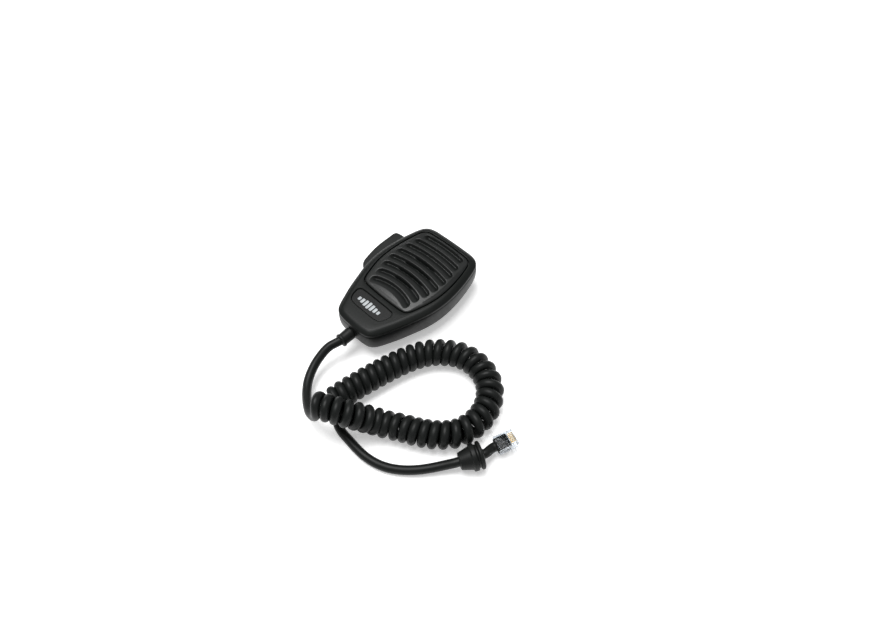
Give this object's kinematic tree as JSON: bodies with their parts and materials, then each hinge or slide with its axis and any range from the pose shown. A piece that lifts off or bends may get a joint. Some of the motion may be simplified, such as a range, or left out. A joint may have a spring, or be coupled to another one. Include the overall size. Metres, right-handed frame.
{
  "type": "hand microphone",
  "caption": "Palm-sized push-to-talk hand microphone with a louvred grille, side talk bar, curly cord, panel grommet and clear modular plug.",
  "frame": {"origin": "on the flat of the rear moulding, in the part's plane of symmetry, where the back lies on the table", "axes": "+Z out of the back towards the grille, +Y towards the top of the microphone, cord leaves along -Y, +X away from the talk bar"},
  "size_m": [0.1584, 0.148, 0.032],
  "materials": {
    "case_plastic": "fine moulded grain",
    "front_plastic": "satin moulded",
    "grille_plastic": "satin moulded",
    "badge_plate": "smooth",
    "badge_print": "printed",
    "button_plastic": "satin",
    "steel": "bright",
    "board": "solder mask",
    "switch_plastic": "moulded",
    "plunger_plastic": "moulded",
    "component": "sleeve",
    "ceramic": "lacquer",
    "soft_rubber": "soft",
    "capsule_metal": "spun",
    "screen_cloth": "woven",
    "cord_jacket": "smooth jacket",
    "boot_rubber": "moulded",
    "wire_red": "insulation",
    "wire_white": "insulation",
    "wire_blue": "insulation",
    "clear_plastic": "clear polycarbonate",
    "gold": "gold plated"
  },
  "bodies": {
    "case": {"rear_shell": "case_plastic", "front_shell": "front_plastic", "name_badge": "badge_plate", "badge_bar_1": "badge_print", "badge_bar_2": "badge_print", "badge_bar_3": "badge_print", "badge_bar_4": "badge_print", "badge_bar_5": "badge_print", "badge_bar_6": "badge_print", "badge_bar_7": "badge_print", "grille_panel": "grille_plastic", "ptt_pin": "steel", "circuit_board": "board", "board_screw_1": "steel", "board_screw_2": "steel", "switch_body": "switch_plastic", "capacitor": "component", "resistor": "ceramic", "capsule_boot": "soft_rubber", "mic_capsule": "capsule_metal", "wind_screen": "screen_cloth", "capsule_stand": "switch_plastic", "case_screw_1": "steel", "case_screw_2": "steel", "case_screw_3": "steel", "hanger_button": "steel", "hanger_screw": "steel", "strain_relief": "boot_rubber", "cable_clamp": "switch_plastic", "inner_jacket": "cord_jacket", "lead_wire_1": "wire_red", "lead_wire_2": "wire_white", "lead_wire_3": "wire_blue", "cord_lead": "cord_jacket", "cord_coil": "cord_jacket", "cord_tail": "cord_jacket", "panel_grommet": "boot_rubber", "cord_stub": "cord_jacket", "plug_boot": "boot_rubber", "plug_housing": "clear_plastic", "plug_contact_1": "gold", "plug_contact_2": "gold", "plug_contact_3": "gold", "plug_contact_4": "gold", "plug_contact_5": "gold", "plug_contact_6": "gold"},
    "talk_bar": {"ptt_button": "button_plastic"},
    "lever": {"switch_lever": "steel"},
    "plunger": {"switch_plunger": "plunger_plastic"},
    "latch": {"plug_latch": "clear_plastic"}
  },
  "joints": [
    {"name": "talk_bar_pivot", "type": "hinge", "parent": "case", "child": "talk_bar", "pos_m": [-0.0246, -0.005, 0.0116], "axis": [0, 0, -1], "range_deg": [0, 4], "stiffness_Nm_per_rad": 0.8, "springref_deg": -1.72},
    {"name": "switch_lever_pivot", "type": "hinge", "parent": "case", "child": "lever", "pos_m": [-0.01865, 0.0101, 0.0134], "axis": [0, 0, -1], "range_deg": [0, 8.6]},
    {"name": "switch_plunger_slide", "type": "slide", "parent": "case", "child": "plunger", "axis": [1, 0, 0], "range_m": [0, 0.0011]},
    {"name": "plug_latch_flex", "type": "hinge", "parent": "case", "child": "latch", "pos_m": [0.11445, -0.03115, 0.0036], "axis": [-0.933, 0.36, 0], "range_deg": [0, 6], "stiffness_Nm_per_rad": 0.05}
  ],
  "couplings": [
    {"joint": "switch_lever_pivot", "follows": "talk_bar_pivot", "ratio": 2.1},
    {"joint": "switch_plunger_slide", "follows": "talk_bar_pivot", "m_per_rad": 0.0129}
  ]
}
